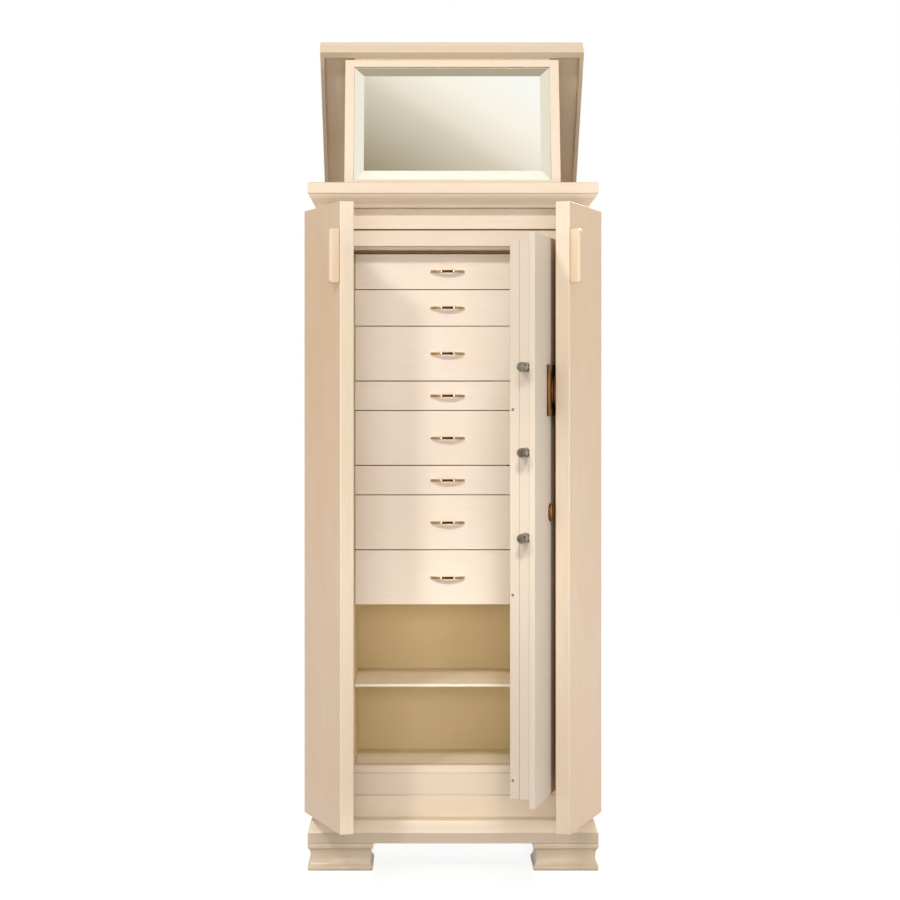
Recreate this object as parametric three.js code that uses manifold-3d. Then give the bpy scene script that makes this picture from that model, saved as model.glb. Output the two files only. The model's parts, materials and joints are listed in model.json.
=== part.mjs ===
// Tall jewelry cabinet with a mirror lid. A lacquered wooden case on four moulded feet holds a
// steel safe with one door, eight drawers and two open compartments. Two wooden doors close over
// the safe, and the lid over the top tray carries a mirror that folds down out of it.
// Millimetres. X is across, -Y is the front, +Z is up. The origin is on the floor, below the
// middle of the whole as it stands in use: doors open, lid raised with the mirror leaning against
// it, and drawers in. The pieces are drawn from the plane of the wooden doors' hinge axes, and
// the group that holds them all moves them back from there.
import * as THREE from "three";
import { mergeVertices } from "three/addons/utils/BufferGeometryUtils.js";
import Module from "manifold-3d";

// ---------------------------------------------------------------- driving dimensions

const GAP = 0.3; // between pieces that touch in use but are drawn apart
const RUNNING = 2; // between a part that moves and the opening that it moves in

const CASE_FROM_ORIGIN = 17; // the plane of the door hinge axes, behind the origin

// The case
const CASE_WIDTH = 560;
const CASE_DEPTH = 420; // hinge axes to the back
const BOARD = 20; // side panels
const BACK_BOARD = 8;
const RAIL_FRONT = 4;
const RAIL_THICK = 16;

// The base and its feet
const FOOT_HEIGHT = 57;
const FOOT_SIZE = 136;
const FOOT_BAND = 9; // plain band at the floor
const FOOT_BAND_CHAMFER = 1.5;
const FOOT_NECK = 46; // where the waist ends and the top block begins
const FOOT_WAIST = 6.5; // depth of the waist
const BASE_HEIGHT = 47;
const BASE_PLAIN = 21.5; // upright part of the base moulding, below its slope
const BASE_STEP = 1.5; // ledge between the two
const BASE_SLOPE_IN = 9; // how far the slope draws in
const BASE_TOP_BOARD = 18;
const MOULDING_WALL = 34; // thickness of the base moulding around its pocket
const SIDE_OVERHANG = 23; // base and cornice, past the side panels
const FRONT_OVERHANG = 40; // base and cornice, past the case and the closed doors

// The cornice and the tray under the lid
const BODY_HEIGHT = 1279; // from the base to the cornice
const CORNICE_SLOPE = 29;
const CORNICE_SLOPE_IN = 17;
const CORNICE_STEP = 2;
const CORNICE_FILLET = 23;
const CORNICE_BACK = 20;
const TOP_RAIL_HEIGHT = 43;
const BOTTOM_RAIL_HEIGHT = 46;
const TRAY_DEPTH = 114; // cornice top to tray floor
const TRAY_BOARD = 12;

// The wooden doors, each measured along and across the closed door
const DOOR_THICK = 29;
const DOOR_BOTTOM_GAP = 13.5; // above the base
const DOOR_TOP_GAP = 7; // below the cornice
const DOOR_MEETING_GAP = 2;
const DOOR_ANGLE = 72.6; // as it stands open
const DOOR_PULL_HEIGHT = 109;
const DOOR_PULL_WIDTH = 24;
const DOOR_PULL_PROUD = 21;
const DOOR_PULL_BELOW_TOP = 54;
const DOOR_PULL_CHAMFER = 4;

// Continuous hinges: knuckle radius, leaf thickness and leaf width
const DOOR_HINGE = { radius: 3, leaf: 0.8, width: 15, knuckles: 9 };
const LID_HINGE = { radius: 3, leaf: 1, width: 14, knuckles: 7 };
const FLAP_HINGE = { radius: 2.4, leaf: 0.8, width: 10, knuckles: 5 };
const KNUCKLE_SIDES = 12;
const KNUCKLE_GAP = 0.4;
const LEAF_GAP = 0.2; // hinge axis to the leaf beside it

// The safe: steel shell, front frame and door
const SHELL_WALL = 8;
const SAFE_FROM_BACK = 11.7; // between the shell and the back panel
const FRAME_FRONT = 10; // front face, behind the hinge axes of the wooden doors
const REBATE_DEPTH = 14.5; // the frame's front step, in which the door plate lies
const FRAME_DEPTH = 50;
const FRAME_ABOVE_OPENING = 42;
const FRAME_BELOW_OPENING = 60;
const JAMB_LEFT = 51; // side panel to the opening, on the bolts' side
const JAMB_RIGHT = 71; // and on the side where the door hangs
const REBATE_LEFT = 6.5; // how far the rebate is wider than the opening
const REBATE_ABOVE = 7;
const REBATE_BELOW = 15;
const PLATE_THICK = 11;
const PIVOT_FROM_SIDE = 9.5;
const PLATE_PAST_PIVOT = 6;
const PINTLE_RADIUS = 4;
const PINTLE_LENGTH = 10;
const SAFE_DOOR_ANGLE = 77;

// Bolt work on the safe door
const BOLT_CASE_WIDTH = 228;
const BOLT_CASE_FROM_JAMB = 6.5;
const BOLT_CASE_DEPTH = 21;
const BOLT_CASE_WALL = 6;
const BOLT_CASE_INSET = 15.5; // above and below, inside the plate's edges
const COVER_SHEET = 2;
const COVER_BOX_WIDTH = 151;
const COVER_BOX_DEPTH = 19;
const BOLT_RADIUS = 9.2;
const BOLT_CENTRE = 9.6; // behind the plate
const BOLT_PROUD = 45;
const BOLT_PITCH = 164;
const BOLTS_BELOW_TOP = 254; // opening's top to the top bolt
const BOLT_THROW = 41;
const BOLT_CHAMFER = 2.5;
const BOLT_BAR_WIDTH = 20;
const BOLT_BAR_THICK = 12;
const BOLT_BAR_FROM_WALL = 12;
const BOLT_SIDES = 24;

// Lock fittings on the outside of the safe door
const LOCK_FROM_JAMB = 181.5;
const LOCK_BELOW_TOP = 298;
const LOCK_PLATE = { width: 110, height: 102, thick: 3.4, rim: 13, raised: 1.2 };
const LOCK_KNOB_RADIUS = 29;
const LOCK_KNOB_THICK = 1.8;
const LOCK_GRIP = { length: 50, width: 9, thick: 1.2 };
const SPINDLE_RADIUS = 6;
const CAM_RADIUS = 22;
const CAM_THICK = 4;
const KEY_FROM_JAMB = 159.5;
const KEY_BELOW_TOP = 540;
const KEY_DISC_RADIUS = 18;
const KEY_GRIP = { length: 32, width: 7, thick: 3 };
const KEY_STUB_RADIUS = 4;

// The inner cabinet with its drawers, shelf and compartments
const INNER_BOARD = 18;
const DRAWER_FRONT_FACE = 64;
const FRONT_THICK = 18;
const INNER_BACK = 8;
const BEHIND_INNER = 20.3; // inner back board to the safe's back wall
const ABOVE_DRAWERS = 5.5;
const SHALLOW = 62.3;
const MIDDLE = 77.2;
const DEEP = 117.1;
const DRAWER_ROWS = [MIDDLE, MIDDLE, DEEP, SHALLOW, DEEP, SHALLOW, DEEP, DEEP];
const DRAWER_GAP = 1.6; // between two drawer fronts
const DRAWER_SIDE_GAP = 1;
const DRAWER_BOX_INSET = 12; // drawer side to inner cabinet side
const BEHIND_DRAWERS = 20;
const DRAWER_WALL = 9;
const DRAWER_BOTTOM = 5;
const DRAWER_BOX_RAISE = 8;
const DRAWER_BOX_DROP = 7;
const RUNNER_HEIGHT = 9;
const RUNNER_WIDTH = 18;
const DIVIDER_THICK = 8;
const UPPER_COMPARTMENT = 168.6; // divider to shelf
const SHELF_THICK = 6;
const SHELF_PIN = { width: 10, height: 7, proud: 9, from_ends: 40 };
const FLOOR_BELOW_OPENING = 15;

// Drawer pulls, bowed out between two pointed feet
const PULL_LENGTH = 74;
const PULL_REACH = 17; // drawer front to the outside of the bow
const PULL_THICK = 5; // of the bow at its middle, seen from above
const PULL_HEIGHT = 5;
const PULL_FOOT = 7;
const PULL_COLLAR = { radius: 3.7, width: 2, spread: 27 };

// The lid
const LID_PAST_SIDES = 4;
const LID_SHORT_OF_BACK = 10;
const LID_RIM_HEIGHT = 25;
const LID_PANEL_THICK = 12;
const LID_FRONT_BOARD = 16.6;
const LID_SIDE_BOARD = 9;
const LID_ANGLE = 45.05;
const LID_AXIS_ABOVE_CORNICE = 3.5;
const LID_AXIS_BEHIND_LID = 3.5;
const LID_EDGE_ROUND = 4;

// The mirror that folds out of the lid
const MIRROR_WIDTH = 460;
const MIRROR_HEIGHT = 296;
const MIRROR_THICK = 19;
const MIRROR_MEMBER = 20;
const MIRROR_TOP_MEMBER = 16;
const MIRROR_GLASS = 5;
const MIRROR_GLASS_BEVEL = 21;
const MIRROR_GLASS_LAP = 6; // hidden behind the frame
const MIRROR_GLASS_BACK = 8; // glass back, behind the frame's face
const MIRROR_BACK_BOARD = 4;
const MIRROR_AXIS_FROM_RIM = 4; // hinge axis, behind the lid's front board
const MIRROR_AXIS_IN_LID = 2.9; // hinge axis, inside the lid's rim plane
const MIRROR_FOLD_ANGLE = 60.95;

// ---------------------------------------------------------------- derived values

const HALF = CASE_WIDTH / 2;
const INNER_HALF = HALF - BOARD;
const BASE_TOP = FOOT_HEIGHT + BASE_HEIGHT;
const BODY_TOP = BASE_TOP + BODY_HEIGHT;
const CORNICE_TOP = BODY_TOP + CORNICE_SLOPE + CORNICE_FILLET;
const OUTER_HALF = HALF + SIDE_OVERHANG;
const CASE_BACK = CASE_DEPTH;
const CASE_FRONT = LEAF_GAP + DOOR_HINGE.leaf + GAP; // front edges of the side panels
const SIDE_BACK = CASE_BACK - BACK_BOARD;
const TRAY_FLOOR = CORNICE_TOP - TRAY_DEPTH;
const FRAME_BACK = FRAME_FRONT + FRAME_DEPTH;
const REBATE_BACK = FRAME_FRONT + REBATE_DEPTH;
const FRAME_TOP = BODY_TOP - TOP_RAIL_HEIGHT;
const FRAME_BOTTOM = BASE_TOP + BOTTOM_RAIL_HEIGHT;
const OPENING_TOP = FRAME_TOP - FRAME_ABOVE_OPENING;
const OPENING_BOTTOM = FRAME_BOTTOM + FRAME_BELOW_OPENING;
const OPENING_LEFT = JAMB_LEFT - INNER_HALF;
const OPENING_RIGHT = INNER_HALF - JAMB_RIGHT;
const PIVOT_X = INNER_HALF - PIVOT_FROM_SIDE;
const PIVOT_Y = FRAME_FRONT + PLATE_THICK / 2;
// These are distances along the safe door, from its pivot.
const JAMB_REACH = PIVOT_X - OPENING_LEFT;
const PLATE_REACH = JAMB_REACH + REBATE_LEFT - RUNNING;
const BOLT_CASE_END = JAMB_REACH - BOLT_CASE_FROM_JAMB;
const BOLT_CASE_START = BOLT_CASE_END - BOLT_CASE_WIDTH;
const COVER_BOX_START = BOLT_CASE_END - COVER_BOX_WIDTH;
const LOCK_CENTRE = JAMB_REACH - LOCK_FROM_JAMB;
const KEY_CENTRE = JAMB_REACH - KEY_FROM_JAMB;
const LOCK_HEIGHT = OPENING_TOP - LOCK_BELOW_TOP;
const KEY_HEIGHT = OPENING_TOP - KEY_BELOW_TOP;
const SHELL_TOP = TRAY_FLOOR - TRAY_BOARD - GAP;
const SHELL_BOTTOM = BASE_TOP + GAP;
const INNER_LEFT = OPENING_LEFT + 1;
const INNER_RIGHT = OPENING_RIGHT - 2;
const INNER_FRONT = FRAME_BACK + GAP;
const SHELL_BACK = SIDE_BACK - SAFE_FROM_BACK;
const INNER_BACK_FACE = SHELL_BACK - SHELL_WALL - BEHIND_INNER - INNER_BACK;
const COMPARTMENT_FLOOR = OPENING_BOTTOM - FLOOR_BELOW_OPENING;
const DRAWER_TOP = OPENING_TOP - ABOVE_DRAWERS;
const INNER_FOOT = SHELL_BOTTOM + SHELL_WALL + GAP;
const DRAWER_CENTRE = (INNER_LEFT + INNER_RIGHT) / 2;
const DRAWERS_BOTTOM = DRAWER_TOP - DRAWER_ROWS.reduce((sum, row) => sum + row, 0);
const DRAWER_BOX_BACK = INNER_BACK_FACE - BEHIND_DRAWERS;
const DIVIDER_TOP = DRAWERS_BOTTOM + DRAWER_GAP / 2 + DRAWER_BOX_RAISE - GAP;
const SHELF_TOP = DIVIDER_TOP - DIVIDER_THICK - UPPER_COMPARTMENT;
const LID_WIDTH = CASE_WIDTH + 2 * LID_PAST_SIDES;
const LID_DEPTH = CASE_DEPTH - LID_SHORT_OF_BACK;

const radians = THREE.MathUtils.degToRad;

// ---------------------------------------------------------------- geometry helpers

const wasm = await Module();
wasm.setup();

function toSolid(geometry) {
  const bare = geometry.clone();
  for (const name of ["normal", "uv"]) bare.deleteAttribute(name);
  const merged = mergeVertices(bare, 1e-4);
  return new wasm.Manifold(
    new wasm.Mesh({
      numProp: 3,
      vertProperties: merged.attributes.position.array,
      triVerts: new Uint32Array(merged.index.array),
    }),
  );
}

function toGeometry(solid) {
  const mesh = solid.getMesh();
  const geometry = new THREE.BufferGeometry();
  geometry.setAttribute("position", new THREE.BufferAttribute(mesh.vertProperties, 3));
  geometry.setIndex(new THREE.BufferAttribute(mesh.triVerts, 1));
  geometry.computeVertexNormals();
  return geometry;
}

const join = (...pieces) => toGeometry(pieces.map(toSolid).reduce((a, b) => a.add(b)));

const cut = (body, ...tools) =>
  toGeometry(tools.map(toSolid).reduce((a, b) => a.subtract(b), toSolid(body)));

// A block between two corners.
function block([x0, x1], [y0, y1], [z0, z1]) {
  const geometry = new THREE.BoxGeometry(x1 - x0, y1 - y0, z1 - z0);
  return geometry.translate((x0 + x1) / 2, (y0 + y1) / 2, (z0 + z1) / 2);
}

// A round bar between two heights; the axis runs up.
function upright(radius, [z0, z1], [x, y], sides = KNUCKLE_SIDES) {
  const geometry = new THREE.CylinderGeometry(radius, radius, z1 - z0, sides);
  return geometry.rotateX(Math.PI / 2).translate(x, y, (z0 + z1) / 2);
}

// A round bar along X, with its far end (at x0) chamfered.
function lengthwise(radius, [x0, x1], [y, z], chamfer, sides) {
  const outline = [
    [0, x0],
    [radius - chamfer, x0],
    [radius, x0 + chamfer],
    [radius, x1],
    [0, x1],
  ].map(([r, x]) => new THREE.Vector2(r, x));
  return new THREE.LatheGeometry(outline, sides).rotateZ(-Math.PI / 2).translate(0, y, z);
}

// A round bar through a door, along Y.
function crosswise(radius, [y0, y1], [x, z], sides = BOLT_SIDES) {
  const geometry = new THREE.CylinderGeometry(radius, radius, y1 - y0, sides);
  return geometry.translate(x, (y0 + y1) / 2, z);
}

// A block with moulded sides: its outline is drawn in by the profile's inset at each height.
// The sides that are moulded are 1, and a plain side is 0.
function moulded([x0, x1], [y0, y1], profile, { left = 1, right = 1, front = 1, back = 1 } = {}) {
  const corners = [];
  for (const [inset, z] of profile) {
    const west = x0 + inset * left;
    const east = x1 - inset * right;
    const south = y0 + inset * front;
    const north = y1 - inset * back;
    corners.push(west, south, z, east, south, z, east, north, z, west, north, z);
  }
  const faces = [0, 2, 1, 0, 3, 2];
  for (let row = 0; row < profile.length - 1; row++) {
    for (let side = 0; side < 4; side++) {
      const next = (side + 1) % 4;
      const low = row * 4;
      const high = low + 4;
      faces.push(low + side, low + next, high + next, low + side, high + next, high + side);
    }
  }
  const top = (profile.length - 1) * 4;
  faces.push(top, top + 1, top + 2, top, top + 2, top + 3);
  const geometry = new THREE.BufferGeometry();
  geometry.setAttribute("position", new THREE.Float32BufferAttribute(corners, 3));
  geometry.setIndex(faces);
  geometry.computeVertexNormals();
  return geometry;
}

// Points of an outline that runs from one height to another.
function rising(steps, [z0, z1], inset) {
  return Array.from({ length: steps + 1 }, (_, step) => {
    const share = step / steps;
    return [inset(share), z0 + share * (z1 - z0)];
  });
}

// ---------------------------------------------------------------- materials

const finish = (color, roughness, metalness = 0) =>
  new THREE.MeshStandardMaterial({ color, roughness, metalness });

const LACQUER = finish(0xecdec8, 0.38);
const DRAWER_LACQUER = finish(0xe8d6c4, 0.4);
const SAFE_PAINT = finish(0xe9dfcc, 0.42);
const INNER_LACQUER = finish(0xc9ad7c, 0.5);
const LINING = finish(0xcbb382, 0.95);
const BRASS = finish(0xd7b482, 0.28, 1);
const BOLT_STEEL = finish(0xa29788, 0.22, 1);
const LOCK_BRONZE = finish(0x5a370f, 0.35, 1);
const SILVERED_GLASS = finish(0xd9dcd6, 0.03, 1);
const BACKING = finish(0xb59f80, 0.8);

const cabinet = new THREE.Group();
cabinet.position.y = CASE_FROM_ORIGIN;

function place(name, geometry, material, parent = cabinet) {
  const mesh = new THREE.Mesh(geometry, material);
  mesh.name = name;
  parent.add(mesh);
}

function turnedGroup(position, rotation, parent = cabinet) {
  const group = new THREE.Group();
  group.position.set(...position);
  group.rotation.set(...rotation);
  parent.add(group);
  return group;
}

// ---------------------------------------------------------------- feet and base

// Square feet with a hollow waist between a band at the floor and a plain top block.
function feet() {
  const waist = (share) => FOOT_WAIST * Math.sqrt(Math.sin(Math.PI * 0.96 * share));
  const profile = [
    [FOOT_BAND_CHAMFER, 0],
    [0, FOOT_BAND_CHAMFER * 2],
    ...rising(12, [FOOT_BAND, FOOT_NECK], waist),
    [0, FOOT_NECK],
    [0, FOOT_HEIGHT - GAP],
  ];
  const columns = { left: -OUTER_HALF, right: OUTER_HALF - FOOT_SIZE };
  const rows = { front: -FRONT_OVERHANG, back: CASE_BACK - FOOT_SIZE };
  for (const [row, y] of Object.entries(rows)) {
    for (const [column, x] of Object.entries(columns)) {
      const foot = moulded([x, x + FOOT_SIZE], [y, y + FOOT_SIZE], profile);
      place(`foot_${row}_${column}`, foot, LACQUER);
    }
  }
}

// The base: a moulding on the front and sides round a pocket, under the board that the case
// stands on.
function base() {
  const slope = (share) =>
    BASE_STEP + (BASE_SLOPE_IN - BASE_STEP) * (0.7 * share + 0.3 * share * share);
  const profile = [
    [0, FOOT_HEIGHT],
    [0, FOOT_HEIGHT + BASE_PLAIN],
    ...rising(5, [FOOT_HEIGHT + BASE_PLAIN, BASE_TOP], slope),
  ];
  const outside = moulded(
    [-OUTER_HALF, OUTER_HALF],
    [-FRONT_OVERHANG, CASE_BACK],
    profile,
    { back: 0 },
  );
  const pocket = block(
    [MOULDING_WALL - OUTER_HALF, OUTER_HALF - MOULDING_WALL],
    [MOULDING_WALL - FRONT_OVERHANG, CASE_BACK - MOULDING_WALL],
    [FOOT_HEIGHT - 1, BASE_TOP - BASE_TOP_BOARD],
  );
  place("base_plinth", cut(outside, pocket), LACQUER);
}

// ---------------------------------------------------------------- case

function caseBoards() {
  const height = [BASE_TOP, BODY_TOP];
  const depth = [CASE_FRONT, SIDE_BACK];
  place("side_panel_left", block([-HALF, -INNER_HALF], depth, height), LACQUER);
  place("side_panel_right", block([INNER_HALF, HALF], depth, height), LACQUER);
  place("back_panel", block([-HALF, HALF], [SIDE_BACK, CASE_BACK], height), BACKING);
  const across = [-INNER_HALF, INNER_HALF];
  const rail = [RAIL_FRONT, RAIL_FRONT + RAIL_THICK];
  place("top_rail", block(across, rail, [BODY_TOP - TOP_RAIL_HEIGHT, BODY_TOP]), LACQUER);
  const bottom = [BASE_TOP, BASE_TOP + BOTTOM_RAIL_HEIGHT];
  place("bottom_rail", block(across, [RAIL_FRONT, FRAME_FRONT - GAP], bottom), LACQUER);
  const tray = [TRAY_FLOOR - TRAY_BOARD, TRAY_FLOOR];
  const trayDepth = [REBATE_BACK + GAP, SIDE_BACK];
  place("tray_floor", block(across, trayDepth, tray), LINING);
}

// The cornice: a frame on top of the case, moulded on the front and sides.
function cornice() {
  const sweep = (share) => {
    const eased = share - (0.55 * Math.sin(2 * Math.PI * share)) / (2 * Math.PI);
    return CORNICE_STEP + CORNICE_SLOPE_IN * (1 - eased);
  };
  const filletBottom = BODY_TOP + CORNICE_SLOPE;
  const profile = [
    ...rising(8, [BODY_TOP, filletBottom - 0.5], sweep),
    [0, filletBottom],
    [0, CORNICE_TOP - 1.5],
    [1.5, CORNICE_TOP],
  ];
  const outside = moulded(
    [-OUTER_HALF, OUTER_HALF],
    [-FRONT_OVERHANG, CASE_BACK],
    profile,
    { back: 0 },
  );
  const opening = block(
    [-INNER_HALF, INNER_HALF],
    [RAIL_FRONT + RAIL_THICK, CASE_BACK - CORNICE_BACK],
    [BODY_TOP - 1, CORNICE_TOP + 1],
  );
  place("cornice", cut(outside, opening), LACQUER);
}

// ---------------------------------------------------------------- hinges

// One leaf of a continuous hinge whose axis is the Z axis. The leaf is a strip seen in section
// between two corners, and a tab joins it to every second knuckle.
function hingeLeaf({ radius, knuckles }, length, start, strip, tab) {
  const pitch = length / knuckles;
  const parts = [block(strip[0], strip[1], [-length / 2, length / 2])];
  for (let index = start; index < knuckles; index += 2) {
    const low = -length / 2 + index * pitch + KNUCKLE_GAP / 2;
    const high = low + pitch - KNUCKLE_GAP;
    parts.push(upright(radius, [low, high], [0, 0]));
    parts.push(block(tab[0], tab[1], [low, high]));
  }
  return join(...parts);
}

// Door hinges lie between the door and the front edge of the side panel: the case leaf is
// behind the axis and the door leaf in front of it.
function doorHingeLeaf(start, behind, side) {
  const { radius, leaf, width } = DOOR_HINGE;
  const near = -radius - 0.4;
  const faces = [LEAF_GAP, LEAF_GAP + leaf].map((y) => y * behind);
  const ys = [Math.min(...faces), Math.max(...faces)];
  const geometry = hingeLeaf(
    DOOR_HINGE,
    BODY_HEIGHT - DOOR_BOTTOM_GAP - DOOR_TOP_GAP,
    start,
    [[near - width, near], ys],
    [[near - 1, -1.5], ys],
  );
  return side > 0 ? geometry : geometry.rotateZ(Math.PI).rotateX(Math.PI);
}

// ---------------------------------------------------------------- wooden doors

// A door is drawn closed, from its hinge axis at the origin towards the middle of the case,
// and its group turns it open. Side is -1 on the left and 1 on the right.
function woodenDoor(word, side) {
  const axis = HALF + DOOR_HINGE.radius + 0.4;
  const group = turnedGroup([side * axis, 0, 0], [0, 0, side * radians(DOOR_ANGLE)]);
  const height = [BASE_TOP + DOOR_BOTTOM_GAP, BODY_TOP - DOOR_TOP_GAP];
  const inside = -CASE_FRONT;
  const outside = inside - DOOR_THICK;
  const hingeEdge = DOOR_HINGE.radius + 0.4;
  const freeEdge = axis - DOOR_MEETING_GAP / 2;
  const along = (a, b) => [-side * a, -side * b].sort((m, n) => m - n);
  place(`door_${word}`, block(along(hingeEdge, freeEdge), [outside, inside], height), LACQUER, group);

  const pullTop = height[1] - DOOR_PULL_BELOW_TOP;
  const chamfer = DOOR_PULL_CHAMFER;
  const pullProfile = [
    [chamfer, pullTop - DOOR_PULL_HEIGHT],
    [0, pullTop - DOOR_PULL_HEIGHT + chamfer],
    [0, pullTop - chamfer],
    [chamfer, pullTop],
  ];
  const pull = moulded(
    along(freeEdge - DOOR_PULL_WIDTH, freeEdge),
    [outside - GAP - DOOR_PULL_PROUD, outside - GAP],
    pullProfile,
    { left: 0, right: 0, front: 1, back: 0 },
  );
  place(`door_pull_${word}`, pull, LACQUER, group);

  const middle = (height[0] + height[1]) / 2;
  const doorLeaf = doorHingeLeaf(1, -1, side).translate(0, 0, middle);
  place(`hinge_${word}_door_leaf`, doorLeaf, BRASS, group);
  const caseLeaf = doorHingeLeaf(0, 1, side).translate(side * axis, 0, middle);
  place(`hinge_${word}_case_leaf`, caseLeaf, BRASS);
}

// ---------------------------------------------------------------- safe shell and frame

const REBATE = {
  x: [OPENING_LEFT - REBATE_LEFT, INNER_HALF + 1],
  z: [OPENING_BOTTOM - REBATE_BELOW, OPENING_TOP + REBATE_ABOVE],
};
const BOLT_HEIGHTS = [0, 1, 2].map((row) => OPENING_TOP - BOLTS_BELOW_TOP - row * BOLT_PITCH);
const BOLT_Y = FRAME_FRONT + PLATE_THICK + BOLT_CENTRE;

function safeShell() {
  const half = INNER_HALF - GAP;
  const outside = block([-half, half], [FRAME_BACK + GAP, SHELL_BACK], [SHELL_BOTTOM, SHELL_TOP]);
  const hollow = block(
    [SHELL_WALL - half, half - SHELL_WALL],
    [FRAME_BACK - 1, SHELL_BACK - SHELL_WALL],
    [SHELL_BOTTOM + SHELL_WALL, SHELL_TOP - SHELL_WALL],
  );
  place("safe_shell", cut(outside, hollow), SAFE_PAINT);
}

// The frame: a front plate with a rebate for the door, on a deep jamb with holes for the bolts
// and sockets for the door's pintles.
function safeFrame() {
  const half = INNER_HALF - GAP;
  const front = block([-half, half], [FRAME_FRONT, REBATE_BACK], [FRAME_BOTTOM, FRAME_TOP]);
  const jamb = block([-half, half], [REBATE_BACK - 1, FRAME_BACK], [SHELL_BOTTOM, SHELL_TOP]);
  const opening = block(
    [OPENING_LEFT, OPENING_RIGHT],
    [FRAME_FRONT - 1, FRAME_BACK + 1],
    [OPENING_BOTTOM, OPENING_TOP],
  );
  const rebate = block(REBATE.x, [FRAME_FRONT - 1, REBATE_BACK], REBATE.z);
  const socket = PINTLE_RADIUS + GAP;
  const above = [REBATE.z[1] - 1, REBATE.z[1] + PINTLE_LENGTH];
  const below = [REBATE.z[0] - PINTLE_LENGTH, REBATE.z[0] + 1];
  const sockets = [above, below].map((span) => upright(socket, span, [PIVOT_X, PIVOT_Y]));
  const boltSpan = [OPENING_LEFT - BOLT_THROW - GAP, OPENING_LEFT + 1];
  const boltHoles = BOLT_HEIGHTS.map((z) =>
    lengthwise(BOLT_RADIUS + RUNNING, boltSpan, [BOLT_Y, z], 0, BOLT_SIDES),
  );
  place("safe_frame", cut(join(front, jamb), opening, rebate, ...sockets, ...boltHoles), SAFE_PAINT);
}

// ---------------------------------------------------------------- safe door

// Drawn closed in its own group, with the pivot at the origin. The door runs towards -X, and
// "deep" is a distance from its outer face towards the inside of the safe.
function safeDoor() {
  const door = turnedGroup([PIVOT_X, PIVOT_Y, 0], [0, 0, radians(SAFE_DOOR_ANGLE)]);
  const face = -PLATE_THICK / 2;
  const deep = (a, b) => [face + a, face + b];
  const bottom = REBATE.z[0] + 1.5;
  const top = REBATE.z[1] - 1.5;

  const spindleHole = SPINDLE_RADIUS + 0.5;
  const keyHole = KEY_STUB_RADIUS + 0.5;
  const slab = block([-PLATE_REACH, PLATE_PAST_PIVOT], deep(0, PLATE_THICK), [bottom, top]);
  const pintles = [
    upright(PINTLE_RADIUS, [top - 1, top + PINTLE_LENGTH], [0, 0]),
    upright(PINTLE_RADIUS, [bottom - PINTLE_LENGTH, bottom + 1], [0, 0]),
  ];
  const through = deep(-1, PLATE_THICK + 1);
  const holes = [
    crosswise(spindleHole, through, [-LOCK_CENTRE, LOCK_HEIGHT]),
    crosswise(keyHole, through, [-KEY_CENTRE, KEY_HEIGHT]),
  ];
  place("safe_door_plate", cut(join(slab, ...pintles), ...holes), SAFE_PAINT, door);

  boltWork(door, deep, [bottom + BOLT_CASE_INSET, top - BOLT_CASE_INSET]);
  lockFittings(door, deep);
}

// The bolt case is an open box on the back of the plate, closed by a cover. The three bolts
// stand on one bar inside it and slide together.
function boltWork(door, deep, height) {
  const caseFront = PLATE_THICK + GAP;
  const caseBack = PLATE_THICK + BOLT_CASE_DEPTH;
  const outside = block([-BOLT_CASE_END, -BOLT_CASE_START], deep(caseFront, caseBack), height);
  const wall = BOLT_CASE_WALL;
  const pocket = block(
    [wall - BOLT_CASE_END, -BOLT_CASE_START - wall],
    deep(caseFront - 1, caseBack - 2),
    [height[0] + wall, height[1] - wall],
  );
  const boltDeep = deep(PLATE_THICK + BOLT_CENTRE, 0)[0];
  const holes = BOLT_HEIGHTS.map((z) => {
    const span = [-BOLT_CASE_END - 1, wall + 1 - BOLT_CASE_END];
    return lengthwise(BOLT_RADIUS + GAP, span, [boltDeep, z], 0, BOLT_SIDES);
  });
  place("bolt_case", cut(outside, pocket, ...holes), SAFE_PAINT, door);

  const sheet = block(
    [-BOLT_CASE_END, -BOLT_CASE_START],
    deep(caseBack + GAP, caseBack + GAP + COVER_SHEET),
    height,
  );
  const box = block(
    [-BOLT_CASE_END, -COVER_BOX_START],
    deep(caseBack + GAP, caseBack + COVER_BOX_DEPTH),
    height,
  );
  place("bolt_cover", join(sheet, box), SAFE_PAINT, door);

  const barOuter = BOLT_CASE_END - BOLT_CASE_WALL - BOLT_BAR_FROM_WALL;
  const bar = block(
    [-barOuter, BOLT_BAR_WIDTH - barOuter],
    [boltDeep - BOLT_BAR_THICK / 2, boltDeep + BOLT_BAR_THICK / 2],
    [BOLT_HEIGHTS[2] - 2 * BOLT_RADIUS, BOLT_HEIGHTS[0] + 2 * BOLT_RADIUS],
  );
  const bolts = BOLT_HEIGHTS.map((z) => {
    const span = [-BOLT_CASE_END - BOLT_PROUD, 4 - barOuter];
    return lengthwise(BOLT_RADIUS, span, [boltDeep, z], BOLT_CHAMFER, BOLT_SIDES);
  });
  place("locking_bolts", join(bar, ...bolts), BOLT_STEEL, door);
}

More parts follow.
